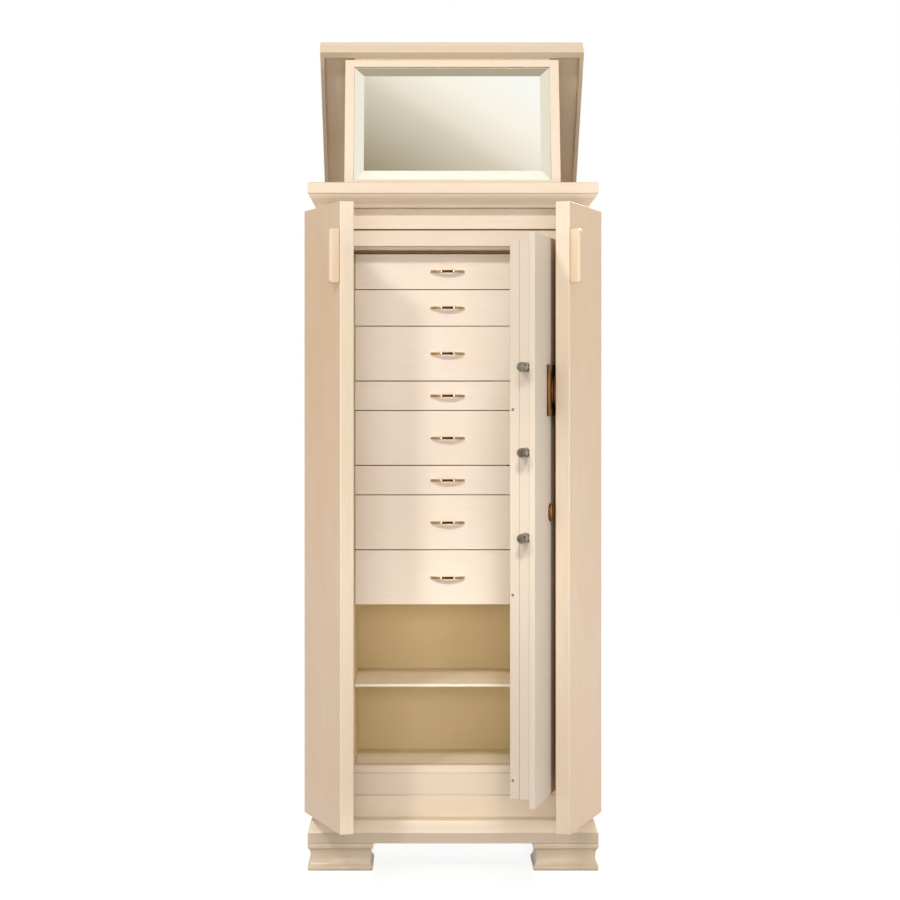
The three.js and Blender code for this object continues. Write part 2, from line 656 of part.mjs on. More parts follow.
// Outside: a lock plate with a raised frame, the flat turning handle on its spindle, and a
// small key turn below.
function lockFittings(door, deep) {
  const { width, height, thick, rim, raised } = LOCK_PLATE;
  const rectangle = (w, h, span) =>
    block(
      [-LOCK_CENTRE - w / 2, -LOCK_CENTRE + w / 2],
      span,
      [LOCK_HEIGHT - h / 2, LOCK_HEIGHT + h / 2],
    );
  const back = -GAP;
  const front = back - thick;
  const whole = rectangle(width, height, deep(front - raised, back));
  const around = rectangle(width - 2 * rim, height - 2 * rim, deep(front - raised - 1, front));
  const hole = crosswise(SPINDLE_RADIUS + 0.5, deep(front - 2, 1), [-LOCK_CENTRE, LOCK_HEIGHT]);
  place("lock_plate", cut(whole, around, hole), LOCK_BRONZE, door);

  const knobBack = front - GAP;
  const knobFront = knobBack - LOCK_KNOB_THICK;
  const centre = [-LOCK_CENTRE, LOCK_HEIGHT];
  const knob = crosswise(LOCK_KNOB_RADIUS, deep(knobFront, knobBack), centre, 32);
  const grip = rectangle(LOCK_GRIP.width, LOCK_GRIP.length, deep(knobFront - LOCK_GRIP.thick, knobFront + 0.5));
  const camBack = PLATE_THICK + 8;
  const spindle = crosswise(SPINDLE_RADIUS, deep(knobBack - 0.5, camBack), centre);
  const cam = crosswise(CAM_RADIUS, deep(camBack - CAM_THICK, camBack), centre);
  place("lock_handle", join(knob, grip, spindle, cam), LOCK_BRONZE, door);

  const keyCentre = [-KEY_CENTRE, KEY_HEIGHT];
  const disc = crosswise(KEY_DISC_RADIUS, deep(-GAP - 2, -GAP), keyCentre);
  const bow = block(
    [-KEY_CENTRE - KEY_GRIP.width / 2, -KEY_CENTRE + KEY_GRIP.width / 2],
    deep(-GAP - 2 - KEY_GRIP.thick, -GAP - 1.5),
    [KEY_HEIGHT - KEY_GRIP.length / 2, KEY_HEIGHT + KEY_GRIP.length / 2],
  );
  const stub = crosswise(KEY_STUB_RADIUS, deep(-GAP - 0.5, PLATE_THICK), keyCentre);
  place("key_turn", join(disc, bow, stub), LOCK_BRONZE, door);
}

// ---------------------------------------------------------------- inner cabinet

const drawerRows = () => {
  let top = DRAWER_TOP;
  return DRAWER_ROWS.map((pitch) => {
    const row = { top: top - DRAWER_GAP / 2, bottom: top - pitch + DRAWER_GAP / 2 };
    top -= pitch;
    return row;
  });
};

// A side board with two pins under the shelf and a runner under each drawer but the lowest,
// which runs on the divider. Side is -1 on the left and 1 on the right.
function innerSide(word, side) {
  const wall = side < 0 ? INNER_LEFT : INNER_RIGHT;
  const span = (a, b) => [wall + side * a, wall + side * b].sort((m, n) => m - n);
  const parts = [
    block(span(0, INNER_BOARD), [INNER_FRONT, INNER_BACK_FACE], [INNER_FOOT, OPENING_TOP]),
  ];
  const runnerDepth = [
    DRAWER_FRONT_FACE + FRONT_THICK + RUNNING,
    DRAWER_BOX_BACK,
  ];
  for (const { bottom } of drawerRows().slice(0, -1)) {
    const runnerTop = bottom + DRAWER_BOX_RAISE - GAP;
    const height = [runnerTop - RUNNER_HEIGHT, runnerTop];
    parts.push(block(span(-RUNNER_WIDTH, 1), runnerDepth, height));
  }
  const pinTop = SHELF_TOP - SHELF_THICK - GAP;
  for (const y of [DRAWER_FRONT_FACE + SHELF_PIN.from_ends, INNER_BACK_FACE - SHELF_PIN.from_ends]) {
    const depth = [y - SHELF_PIN.width / 2, y + SHELF_PIN.width / 2];
    parts.push(block(span(-SHELF_PIN.proud, 1), depth, [pinTop - SHELF_PIN.height, pinTop]));
  }
  place(`inner_side_${word}`, join(...parts), INNER_LACQUER);
}

function innerCabinet() {
  innerSide("left", -1);
  innerSide("right", 1);
  const outer = [INNER_LEFT - INNER_BOARD, INNER_RIGHT + INNER_BOARD];
  const backDepth = [INNER_BACK_FACE + GAP, INNER_BACK_FACE + INNER_BACK];
  place("inner_back", block(outer, backDepth, [INNER_FOOT, OPENING_TOP]), LINING);
  const between = [INNER_LEFT + GAP, INNER_RIGHT - GAP];
  const depth = [INNER_FRONT, INNER_BACK_FACE];
  const floor = [COMPARTMENT_FLOOR - INNER_BOARD, COMPARTMENT_FLOOR];
  place("inner_floor", block(between, depth, floor), INNER_LACQUER);
  const shelfDepth = [DRAWER_FRONT_FACE, INNER_BACK_FACE];
  const shelf = [SHELF_TOP - SHELF_THICK, SHELF_TOP];
  place("shelf", block(between, shelfDepth, shelf), INNER_LACQUER);
  const behindFront = [DRAWER_FRONT_FACE + FRONT_THICK + RUNNING, INNER_BACK_FACE];
  place(
    "divider_board",
    block(between, behindFront, [DIVIDER_TOP - DIVIDER_THICK, DIVIDER_TOP]),
    INNER_LACQUER,
  );
}

// ---------------------------------------------------------------- drawers

// A drawer is a front board on an open box. The box runs on the side boards' runners.
function drawerBody({ top, bottom }) {
  const front = block(
    [INNER_LEFT + DRAWER_SIDE_GAP, INNER_RIGHT - DRAWER_SIDE_GAP],
    [DRAWER_FRONT_FACE, DRAWER_FRONT_FACE + FRONT_THICK],
    [bottom, top],
  );
  const boxX = [INNER_LEFT + DRAWER_BOX_INSET, INNER_RIGHT - DRAWER_BOX_INSET];
  const boxFront = DRAWER_FRONT_FACE + FRONT_THICK;
  const boxZ = [bottom + DRAWER_BOX_RAISE, top - DRAWER_BOX_DROP];
  const box = block(boxX, [boxFront - 1, DRAWER_BOX_BACK], boxZ);
  const hollow = block(
    [boxX[0] + DRAWER_WALL, boxX[1] - DRAWER_WALL],
    [boxFront, DRAWER_BOX_BACK - DRAWER_WALL],
    [boxZ[0] + DRAWER_BOTTOM, boxZ[1] + 1],
  );
  return cut(join(front, box), hollow);
}

// A pull: a flat bow that tapers to a foot at each end, with two collars near its middle.
function drawerPull({ top, bottom }) {
  const half = PULL_LENGTH / 2;
  const gapHalf = half - PULL_FOOT;
  const arc = (reach, width, steps) =>
    Array.from({ length: steps + 1 }, (_, step) => {
      const share = -Math.cos((Math.PI * step) / steps);
      return new THREE.Vector2(width * share, -reach * Math.pow(1 - share * share, 0.7));
    });
  const outer = arc(PULL_REACH, half, 18);
  const inner = arc(PULL_REACH - PULL_THICK, gapHalf, 12).reverse();
  const bow = new THREE.ExtrudeGeometry(new THREE.Shape([...outer, ...inner]), {
    depth: PULL_HEIGHT,
    bevelEnabled: false,
  }).translate(0, 0, -PULL_HEIGHT / 2);
  const { radius, width, spread } = PULL_COLLAR;
  const collars = [-1, 1].map((side) => {
    const x = (side * spread) / 2;
    const share = x / half;
    const y = PULL_THICK / 2 - PULL_REACH * Math.pow(1 - share * share, 0.7);
    return lengthwise(radius, [x - width / 2, x + width / 2], [y, 0], 0, KNUCKLE_SIDES);
  });
  const onFront = DRAWER_FRONT_FACE - GAP;
  return join(bow, ...collars).translate(DRAWER_CENTRE, onFront, (top + bottom) / 2);
}

function drawers() {
  drawerRows().forEach((row, index) => {
    place(`drawer_${index + 1}`, drawerBody(row), DRAWER_LACQUER);
    place(`drawer_pull_${index + 1}`, drawerPull(row), BRASS);
  });
}

// ---------------------------------------------------------------- lid and mirror

// Turns a piece drawn along Z, with its section in X and Y, to run along X.
const AXIS_ACROSS = new THREE.Matrix4().makeBasis(
  new THREE.Vector3(0, 1, 0),
  new THREE.Vector3(0, 0, 1),
  new THREE.Vector3(1, 0, 0),
);

// The lid is drawn closed in its own group, with the hinge axis at the origin and the lid
// towards -Y.
function lid() {
  const axisY = LID_DEPTH + LID_AXIS_BEHIND_LID;
  const axisZ = CORNICE_TOP + LID_AXIS_ABOVE_CORNICE;
  const group = turnedGroup([0, axisY, axisZ], [-radians(LID_ANGLE), 0, 0]);
  const x = [-LID_WIDTH / 2, LID_WIDTH / 2];
  const back = -LID_AXIS_BEHIND_LID;
  const y = [back - LID_DEPTH, back];
  const rimBottom = GAP - LID_AXIS_ABOVE_CORNICE;
  const rimTop = rimBottom + LID_RIM_HEIGHT;
  const recess = block(
    [x[0] + LID_SIDE_BOARD, x[1] - LID_SIDE_BOARD],
    [y[0] + LID_FRONT_BOARD, y[1] - LID_FRONT_BOARD],
    [rimBottom - 1, rimTop + 1],
  );
  place("lid_rim", cut(block(x, y, [rimBottom, rimTop]), recess), LACQUER, group);

  const panelBottom = rimTop + GAP;
  const panelTop = rimTop + LID_PANEL_THICK;
  const rounding = rising(4, [panelTop - LID_EDGE_ROUND, panelTop], (share) => {
    return LID_EDGE_ROUND * (1 - Math.sqrt(1 - share * share));
  });
  place("lid_panel", moulded(x, y, [[0, panelBottom], ...rounding]), LACQUER, group);

  lidHinge(group, [0, axisY, axisZ]);
  mirrorFlap(group, y[0] + LID_FRONT_BOARD, rimBottom);
}

// The case leaf lies on the cornice, and the lid leaf stands against the lid's back edge.
function lidHinge(group, axis) {
  const { radius, leaf, width } = LID_HINGE;
  const length = LID_WIDTH - 2 * BOARD;
  const under = [GAP - LID_AXIS_ABOVE_CORNICE, GAP - LID_AXIS_ABOVE_CORNICE + leaf];
  const reach = CASE_BACK - axis[1] - GAP;
  const caseLeaf = hingeLeaf(
    LID_HINGE,
    length,
    0,
    [[radius + 0.4, reach], under],
    [[1, radius + 1], under],
  );
  caseLeaf.applyMatrix4(AXIS_ACROSS).translate(...axis);
  place("lid_hinge_case_leaf", caseLeaf, BRASS);

  const beside = [GAP - LID_AXIS_BEHIND_LID, GAP - LID_AXIS_BEHIND_LID + leaf];
  const lidLeaf = hingeLeaf(
    LID_HINGE,
    length,
    1,
    [beside, [radius + 0.4, radius + 0.4 + width]],
    [beside, [1, radius + 1]],
  );
  place("lid_hinge_lid_leaf", lidLeaf.applyMatrix4(AXIS_ACROSS), BRASS, group);
}

// The mirror is drawn folded up in the lid: its hinge axis is at the origin, it runs towards
// +Y and its glass faces down. Its group turns it out.
function mirrorFlap(lidGroup, frontBoard, rimBottom) {
  const axis = [0, frontBoard + MIRROR_AXIS_FROM_RIM, rimBottom + MIRROR_AXIS_IN_LID];
  const group = turnedGroup(axis, [-radians(MIRROR_FOLD_ANGLE), 0, 0], lidGroup);
  const face = GAP - MIRROR_AXIS_IN_LID;
  const back = face + MIRROR_THICK;
  const near = FLAP_HINGE.radius + 0.6;
  const far = near + MIRROR_HEIGHT;
  const half = MIRROR_WIDTH / 2;
  const sight = {
    x: [MIRROR_MEMBER - half, half - MIRROR_MEMBER],
    y: [near + MIRROR_TOP_MEMBER, far - MIRROR_MEMBER],
  };
  const lap = MIRROR_GLASS_LAP;
  const rebate = {
    x: [sight.x[0] - lap, sight.x[1] + lap],
    y: [sight.y[0] - lap, sight.y[1] + lap],
  };
  const glassFront = face + MIRROR_GLASS_BACK - MIRROR_GLASS;
  const frame = cut(
    block([-half, half], [near, far], [face, back]),
    block(sight.x, sight.y, [face - 1, back + 1]),
    block(rebate.x, rebate.y, [glassFront - GAP, back + 1]),
  );
  place("mirror_frame", frame, LACQUER, group);

  const inRebate = {
    x: [rebate.x[0] + GAP, rebate.x[1] - GAP],
    y: [rebate.y[0] + GAP, rebate.y[1] - GAP],
  };
  const edge = MIRROR_GLASS_BEVEL + lap;
  const glass = moulded(inRebate.x, inRebate.y, [
    [edge - 0.01, glassFront],
    [0, glassFront + 2],
    [0, glassFront + MIRROR_GLASS],
  ]);
  place("mirror_glass", glass, SILVERED_GLASS, group);

  const boardFront = glassFront + MIRROR_GLASS + GAP;
  const board = block(inRebate.x, inRebate.y, [boardFront, boardFront + MIRROR_BACK_BOARD]);
  place("mirror_backing", board, BACKING, group);

  const { radius, leaf, width } = FLAP_HINGE;
  const length = MIRROR_WIDTH - 2 * MIRROR_MEMBER;
  const strip = [radius + 0.4, radius + 0.4 + width];
  const onBoard = [GAP - MIRROR_AXIS_FROM_RIM, GAP - MIRROR_AXIS_FROM_RIM + leaf];
  const lidLeaf = hingeLeaf(FLAP_HINGE, length, 0, [onBoard, strip], [
    [onBoard[0], -0.8],
    [1, radius + 1.2],
  ]);
  place("mirror_hinge_lid_leaf", lidLeaf.applyMatrix4(AXIS_ACROSS).translate(...axis), BRASS, lidGroup);
  const onFrame = [near - GAP - leaf, near - GAP];
  const flapLeaf = hingeLeaf(FLAP_HINGE, length, 1, [onFrame, strip], [
    [0.8, onFrame[1]],
    [1, radius + 1.2],
  ]);
  place("mirror_hinge_frame_leaf", flapLeaf.applyMatrix4(AXIS_ACROSS), BRASS, group);
}

// ---------------------------------------------------------------- assembly

feet();
base();
caseBoards();
cornice();
safeShell();
safeFrame();
innerCabinet();
drawers();
safeDoor();
woodenDoor("left", -1);
woodenDoor("right", 1);
lid();

export default cabinet;
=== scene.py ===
# A tall jewelry cabinet in ivory lacquer, with a steel safe behind its wooden doors and a mirror
# in its lid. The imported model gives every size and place, in metres: X across, -Y the front and
# +Z up. The looks are made here, piece by piece, in the order in which the cabinet goes together.
import json
import math

import bmesh
import bpy
from mathutils import Matrix, Vector


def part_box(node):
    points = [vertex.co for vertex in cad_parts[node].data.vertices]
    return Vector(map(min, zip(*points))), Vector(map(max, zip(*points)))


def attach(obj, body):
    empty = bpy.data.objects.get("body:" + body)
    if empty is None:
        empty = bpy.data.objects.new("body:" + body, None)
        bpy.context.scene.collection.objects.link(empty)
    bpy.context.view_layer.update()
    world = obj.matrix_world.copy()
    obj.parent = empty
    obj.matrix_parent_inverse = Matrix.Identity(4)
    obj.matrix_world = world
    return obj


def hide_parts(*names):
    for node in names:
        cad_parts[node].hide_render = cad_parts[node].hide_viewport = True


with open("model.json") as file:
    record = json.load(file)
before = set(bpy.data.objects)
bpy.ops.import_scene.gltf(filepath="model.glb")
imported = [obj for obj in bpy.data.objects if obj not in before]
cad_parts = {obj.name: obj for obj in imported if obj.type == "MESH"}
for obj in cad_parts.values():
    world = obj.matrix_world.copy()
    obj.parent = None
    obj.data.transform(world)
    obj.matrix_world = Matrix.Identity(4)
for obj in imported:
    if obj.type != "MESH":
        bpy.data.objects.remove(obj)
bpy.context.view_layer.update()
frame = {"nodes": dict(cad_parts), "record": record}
scene = bpy.context.scene
scene.view_settings.view_transform = "Standard"

# ---------------------------------------------------------------- camera
# A studio view from straight in front and a little left of the middle, at two thirds of the
# case's height. The camera is level and the lens is shifted, so the uprights stay parallel.
IMAGE_SIZE = 900
FOCAL_PIXELS = 2400
PRINCIPAL_POINT = (420, 400)
CAMERA_PLACE = (-0.069, -5.023, 0.9809)

camera = bpy.data.objects.new("camera", bpy.data.cameras.new("camera"))
scene.collection.objects.link(camera)
camera.location = CAMERA_PLACE
camera.rotation_euler = (math.pi / 2, 0, 0)
camera.data.sensor_width = 36
camera.data.lens = camera.data.sensor_width * FOCAL_PIXELS / IMAGE_SIZE
camera.data.shift_x = 0.5 - PRINCIPAL_POINT[0] / IMAGE_SIZE
camera.data.shift_y = PRINCIPAL_POINT[1] / IMAGE_SIZE - 0.5
scene.camera = camera


# ---------------------------------------------------------------- shader building
# Every finish is built as nodes. Number maths is written with Python operators, and any other
# node comes from one method.
class Term:
    """A number inside a shader. Sums and products of terms add their Math nodes."""

    def __init__(self, tree, socket):
        self.tree = tree
        self.socket = socket

    def maths(self, operation, first, second=None):
        node = self.tree.nodes.new("ShaderNodeMath")
        node.operation = operation
        for socket, value in zip(node.inputs, (first, second)):
            if isinstance(value, Term):
                self.tree.links.new(value.socket, socket)
            elif value is not None:
                socket.default_value = value
        return Term(self.tree, node.outputs[0])

    def __add__(self, other):
        return self.maths("ADD", self, other)

    def __sub__(self, other):
        return self.maths("SUBTRACT", self, other)

    def __rsub__(self, other):
        return self.maths("SUBTRACT", other, self)

    def __mul__(self, other):
        return self.maths("MULTIPLY", self, other)

    def __truediv__(self, other):
        return self.maths("DIVIDE", self, other)

    __radd__ = __add__
    __rmul__ = __mul__

    def clamped(self):
        return self.maths("MINIMUM", self.maths("MAXIMUM", self, 0.0), 1.0)

    def above(self, edge, width):
        """0 below the edge and 1 above it, over a ramp of the given width."""
        return ((self - edge) / width + 0.5).clamped()

    def towards(self, value, share):
        return self + (value - self) * share


class Finish:
    """The node tree of one material or of the world."""

    MIX_INPUTS = (0, 6, 7)  # share and two colours, as a colour Mix node numbers its sockets
    MIX_OUTPUT = 2

    def __init__(self, name, owner=None):
        self.owner = owner or bpy.data.materials.new(name)
        self.owner.use_nodes = True
        self.tree = self.owner.node_tree

    def node(self, kind, settings=None, inputs=None, output=0):
        made = self.tree.nodes.new(kind)
        for name, value in (settings or {}).items():
            if name == "stops":
                ramp = made.color_ramp.elements
                while len(ramp) < len(value):
                    ramp.new(0.5)
                for element, (place, colour) in zip(ramp, value):
                    element.position = place
                    element.color = (*colour, 1)
            else:
                setattr(made, name, value)
        for name, value in (inputs or {}).items():
            self.feed(made.inputs[name], value)
        return Term(self.tree, made.outputs[output])

    def feed(self, socket, value):
        if isinstance(value, Term):
            self.tree.links.new(value.socket, socket)
        elif socket.type == "RGBA" and len(value) == 3:
            socket.default_value = (*value, 1)
        else:
            socket.default_value = value

    def place(self, stretch=(1, 1, 1), offset=(0, 0, 0)):
        """Object coordinates, stretched: a small factor draws the pattern out on that axis."""
        coordinates = self.node("ShaderNodeTexCoord", output="Object")
        moved = {"Vector": coordinates, "Scale": stretch, "Location": offset}
        return self.node("ShaderNodeMapping", inputs=moved)

    def noise(self, scale, detail=3.0, stretch=(1, 1, 1), offset=(0, 0, 0), roughness=0.55):
        inputs = {
            "Vector": self.place(stretch, offset),
            "Scale": scale,
            "Detail": detail,
            "Roughness": roughness,
        }
        return self.node("ShaderNodeTexNoise", inputs=inputs)

    def axis(self, name):
        coordinates = self.node("ShaderNodeTexCoord", output="Object")
        return self.node("ShaderNodeSeparateXYZ", inputs={"Vector": coordinates}, output=name)

    def facing(self, name):
        """How far the surface faces along an axis, from -1 to 1."""
        normal = self.node("ShaderNodeNewGeometry", output="Normal")
        return self.node("ShaderNodeSeparateXYZ", inputs={"Vector": normal}, output=name)

    def mix(self, share, first, second):
        made = self.tree.nodes.new("ShaderNodeMix")
        made.data_type = "RGBA"
        made.clamp_factor = True
        for index, value in zip(self.MIX_INPUTS, (share, first, second)):
            self.feed(made.inputs[index], value)
        return Term(self.tree, made.outputs[self.MIX_OUTPUT])

    def surface(self, bump=None, bump_height=0.0002, bump_strength=0.4, **inputs):
        shader = self.tree.nodes["Principled BSDF"]
        if bump is not None:
            raised = {"Height": bump, "Distance": bump_height, "Strength": bump_strength}
            inputs["Normal"] = self.node("ShaderNodeBump", inputs=raised)
        for name, value in inputs.items():
            self.feed(shader.inputs[name.replace("_", " ")], value)
        return self.owner


def colour(red, green, blue):
    """The linear value of a colour written as on screen, 0 to 255."""
    parts = (part / 255 for part in (red, green, blue))
    return tuple(p / 12.92 if p <= 0.04045 else ((p + 0.055) / 1.055) ** 2.4 for p in parts)


# ---------------------------------------------------------------- studio
# A white floor under the cabinet and a surround that the camera sees as white. Two lamps stand
# high in front, one of them to the left, with a strip low on each side and a broad fill behind
# the camera. A narrow spot opens up the compartments, and one broad lamp lights the back.
FLOOR_HALF = 30
FLOOR_WHITE = (0.9, 0.9, 0.9)
FLOOR_BOUNCE = (0.4, 0.4, 0.4)  # what it throws back on the cabinet
FLOOR_OWN_LIGHT = 0.76  # share of the floor's white that doesn't depend on the lamps
FLOOR_SHINE = 0.6  # the same share as metal and glass see it
FLOOR_GLOW = 1.17
FLOOR_ROUGHNESS = 0.12
SURROUND = (1.0, 0.89, 0.77)
SURROUND_LIGHT = 0.4
SURROUND_SHINE = 0.4  # what metal and glass see on top of it


def rectangle(name, half_width, half_height):
    mesh = bpy.data.meshes.new(name)
    signs = ((-1, -1), (1, -1), (1, 1), (-1, 1))
    mesh.from_pydata([(x * half_width, y * half_height, 0) for x, y in signs], [], [(0, 1, 2, 3)])
    made = bpy.data.objects.new(name, mesh)
    scene.collection.objects.link(made)
    return made


def blended(finish, share, first, second):
    """One shader over another by a share from 0 to 1, shown on the surface."""
    mixed = finish.node("ShaderNodeMixShader", inputs={"Fac": share})
    for socket, shader in zip(mixed.socket.node.inputs[1:], (first, second)):
        finish.tree.links.new(shader.socket, socket)
    finish.tree.links.new(mixed.socket, finish.tree.nodes["Material Output"].inputs["Surface"])


floor = rectangle("floor", FLOOR_HALF, FLOOR_HALF)
floor_finish = Finish("floor_white")
seen = floor_finish.node("ShaderNodeLightPath", output="Is Camera Ray")
bright = floor_finish.mix(seen, FLOOR_BOUNCE, FLOOR_WHITE)
floor_finish.surface(Base_Color=bright, Roughness=FLOOR_ROUGHNESS, Specular_IOR_Level=0.5)
floor_shader = Term(floor_finish.tree, floor_finish.tree.nodes["Principled BSDF"].outputs[0])
glossy = floor_finish.node("ShaderNodeLightPath", output="Is Glossy Ray")
glow = floor_finish.node("ShaderNodeEmission", inputs={"Color": (1, 1, 1), "Strength": FLOOR_GLOW})
own_light = (seen * FLOOR_OWN_LIGHT + glossy * FLOOR_SHINE).clamped()
blended(floor_finish, own_light, floor_shader, glow)
floor.data.materials.append(floor_finish.owner)

world = bpy.data.worlds.new("surround")
scene.world = world
surround = Finish("surround", world)
backdrop = surround.tree.nodes["Background"]
path = surround.node("ShaderNodeLightPath", output="Is Camera Ray")
shine = surround.node("ShaderNodeLightPath", output="Is Glossy Ray")
surround.feed(backdrop.inputs["Color"], surround.mix(path, SURROUND, (1, 1, 1)))
strength = (path + shine * SURROUND_SHINE + SURROUND_LIGHT).clamped()
surround.feed(backdrop.inputs["Strength"], strength)


def lamp(name, kind, place, aim, watts, tint, **shape):
    light = bpy.data.lights.new(name, kind)
    light.energy = watts
    light.color = tint
    for setting, value in shape.items():
        setattr(light, setting, value)
    stand = bpy.data.objects.new(name, light)
    scene.collection.objects.link(stand)
    stand.location = place
    direction = Vector(aim) - Vector(place)
    stand.rotation_euler = direction.to_track_quat("-Z", "Y").to_euler()


SQUARE = {"shape": "RECTANGLE", "size": 0.5, "size_y": 0.5}
STRIP = {"shape": "RECTANGLE", "size": 0.5, "size_y": 1.4}
WIDE = {"shape": "RECTANGLE", "size": 0.9, "size_y": 0.5}
BROAD = {"shape": "RECTANGLE", "size": 2.4, "size_y": 1.4}
NARROW = {"spot_size": math.radians(9), "spot_blend": 1.0, "shadow_soft_size": 0.12}
MIDDLE = (0, 0, 0.8)
COMPARTMENT = (0.01, 0.15, 0.34)  # what the narrow spot is aimed at
WARM = (1.0, 0.97, 0.93)
WARMER = (1.0, 0.96, 0.88)
lamp("key", "AREA", (-1.75, -4.0, 3.7), MIDDLE, 74, WARM, **SQUARE)
lamp("high", "AREA", (0.1, -4.2, 3.9), MIDDLE, 52, (1.0, 0.96, 0.9), **WIDE)
lamp("left_strip", "AREA", (-4.2, -2.0, 0.9), MIDDLE, 34, (1.0, 0.97, 0.96), **STRIP)
lamp("right_strip", "AREA", (4.2, -2.0, 0.9), MIDDLE, 72, (0.97, 0.99, 1.0), **STRIP)
lamp("fill", "AREA", (-0.1, -5.6, 1.1), (0, 0, 0.7), 76, WARM, **BROAD)
lamp("back", "AREA", (2.2, 4.4, 3.6), MIDDLE, 110, WARM, **BROAD)
lamp("compartment_spot", "SPOT", (0.15, -3.2, 2.75), COMPARTMENT, 200, WARMER, **NARROW)

# What the mirror shows of the room: a card that only reflections see, light at its upper right,
# falling off softly to the lower left, with the borders that the bevels pick up.
CARD_DISTANCE = 1.5
CARD_HALF = (0.9, 0.8)
CARD_FADE = 0.35  # width of its soft border
CARD_CLEAR = (0.24, 0.147)  # half of the part that the flat of the glass shows
CARD_SLOPE = 0.26  # how fast it brightens to the right and upwards
CARD_MIDDLE = 0.62
CARD_TONES = (
    (0.0, (0.26, 0.21, 0.14)),
    (0.2, (0.41, 0.345, 0.25)),
    (0.37, (0.55, 0.495, 0.40)),
    (0.54, (0.71, 0.645, 0.535)),
    (0.64, (0.87, 0.81, 0.71)),
    (0.79, (1.0, 0.94, 0.85)),
    (1.0, (1.0, 1.0, 1.0)),
)

glass = frame["nodes"]["mirror_glass"]
flat = min(glass.data.polygons, key=lambda polygon: polygon.normal.y * polygon.area)
mirror_middle = sum((Vector(corner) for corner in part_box("mirror_glass")), Vector()) / 2
sight = (mirror_middle - Vector(CAMERA_PLACE)).normalized()
bounce = sight - 2 * sight.dot(flat.normal) * flat.normal
across = Vector((1, 0, 0))
turn = Matrix((across, bounce.cross(across), bounce)).transposed().to_4x4()

card = rectangle("mirror_card", *CARD_HALF)
card.matrix_world = Matrix.Translation(mirror_middle + CARD_DISTANCE * bounce) @ turn
for ray in ("camera", "diffuse", "transmission", "volume_scatter", "shadow"):
    setattr(card, f"visible_{ray}", False)
card_finish = Finish("mirror_card")
u = card_finish.axis("X") / CARD_CLEAR[0]
v = card_finish.axis("Y") / CARD_CLEAR[1]
shade = (u * CARD_SLOPE + v * CARD_SLOPE + CARD_MIDDLE).clamped()
# The left, right, upper and lower border: its tone, where it begins and the width of its ramp.
shade = shade.towards(0.72, 1 - u.above(-1.4, 0.3))
shade = shade.towards(0.63, u.above(1.45, 0.3))
shade = shade.towards(0.25, v.above(1.65, 0.4))
shade = shade.towards(0.76, 1 - v.above(-1.65, 0.4))
tone = card_finish.node("ShaderNodeValToRGB", {"stops": CARD_TONES}, {"Fac": shade})
card_light = card_finish.node("ShaderNodeEmission", inputs={"Color": tone, "Strength": 1.0})
clear = card_finish.node("ShaderNodeBsdfTransparent")


def card_cover(axis, half):
    """0 at the card's edge, rising to 1 at the inside of its soft border."""
    along = card_finish.axis(axis)
    return ((half - along.maths("ABSOLUTE", along)) / CARD_FADE).clamped()


cover = card_cover("X", CARD_HALF[0]) * card_cover("Y", CARD_HALF[1])
blended(card_finish, cover, clear, card_light)
card.data.materials.append(card_finish.owner)


# ---------------------------------------------------------------- wood and its ivory lacquer
# The case is veneered board under a satin ivory lacquer. The grain shows as faint mottled
# streaks, and the edges of each board are eased.
EASE = 0.0012
FLAT_AREA = 0.004  # faces that lie in one plane and cover more than this keep its normal


def add_object(name, mesh):
    made = bpy.data.objects.new(name, mesh)
    scene.collection.objects.link(made)
    return made


def finish_mesh(mesh, angle=35):
    """Smooth shading up to an angle. The flat faces are marked last, because the call for the
    sharp edges makes every face smooth."""
    mesh.set_sharp_from_angle(angle=math.radians(angle))
    planes = {}
    for polygon in mesh.polygons:
        facing = tuple(round(part, 2) for part in polygon.normal)
        reach = round(polygon.normal.dot(polygon.center), 3)
        planes.setdefault((facing, reach), []).append(polygon)
    for members in planes.values():
        small = sum(polygon.area for polygon in members) < FLAT_AREA
        for polygon in members:
            polygon.use_smooth = small


def body_of(node):
    bodies = frame["record"]["behaviour"]["bodies"]
    return next(body for body, members in bodies.items() if node in members)


def eased_copy(node, ease=EASE, segments=2, keep=30):
    """A copy of a node with its sharp edges rounded. It stands for the node from then on."""
    source = frame["nodes"][node]
    shape = bmesh.new()
    shape.from_mesh(source.data)
    bmesh.ops.remove_doubles(shape, verts=shape.verts, dist=1e-6)
    bmesh.ops.dissolve_limit(
        shape, angle_limit=math.radians(1), verts=shape.verts, edges=shape.edges
    )
    sharp = [
        edge
        for edge in shape.edges
        if edge.is_manifold and edge.calc_face_angle(0) > math.radians(keep)
    ]
    bmesh.ops.bevel(
        shape,
        geom=sharp,
        offset=ease,
        segments=segments,
        profile=0.5,
        affect="EDGES",
        clamp_overlap=True,
    )
    mesh = bpy.data.meshes.new(f"{node}_finished")
    shape.to_mesh(mesh)
    shape.free()
    finish_mesh(mesh)
    piece = add_object(f"{node}_finished", mesh)
    body = body_of(node)
    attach(piece, body)
    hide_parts(node)
    return piece


def dress(piece, material):
    piece.data.materials.clear()
    piece.data.materials.append(material)


UP = (9, 9, 0.8)  # grain along Z
ACROSS = (0.8, 9, 9)  # grain along X
# The band below is painted shade: the width of its soft edges and how far it darkens each channel.
PAINTED_SHADE_EDGE = 0.002  # width of a toned band's soft edges
PAINTED_SHADE_FALL = (0.2, 0.15, 0.1)


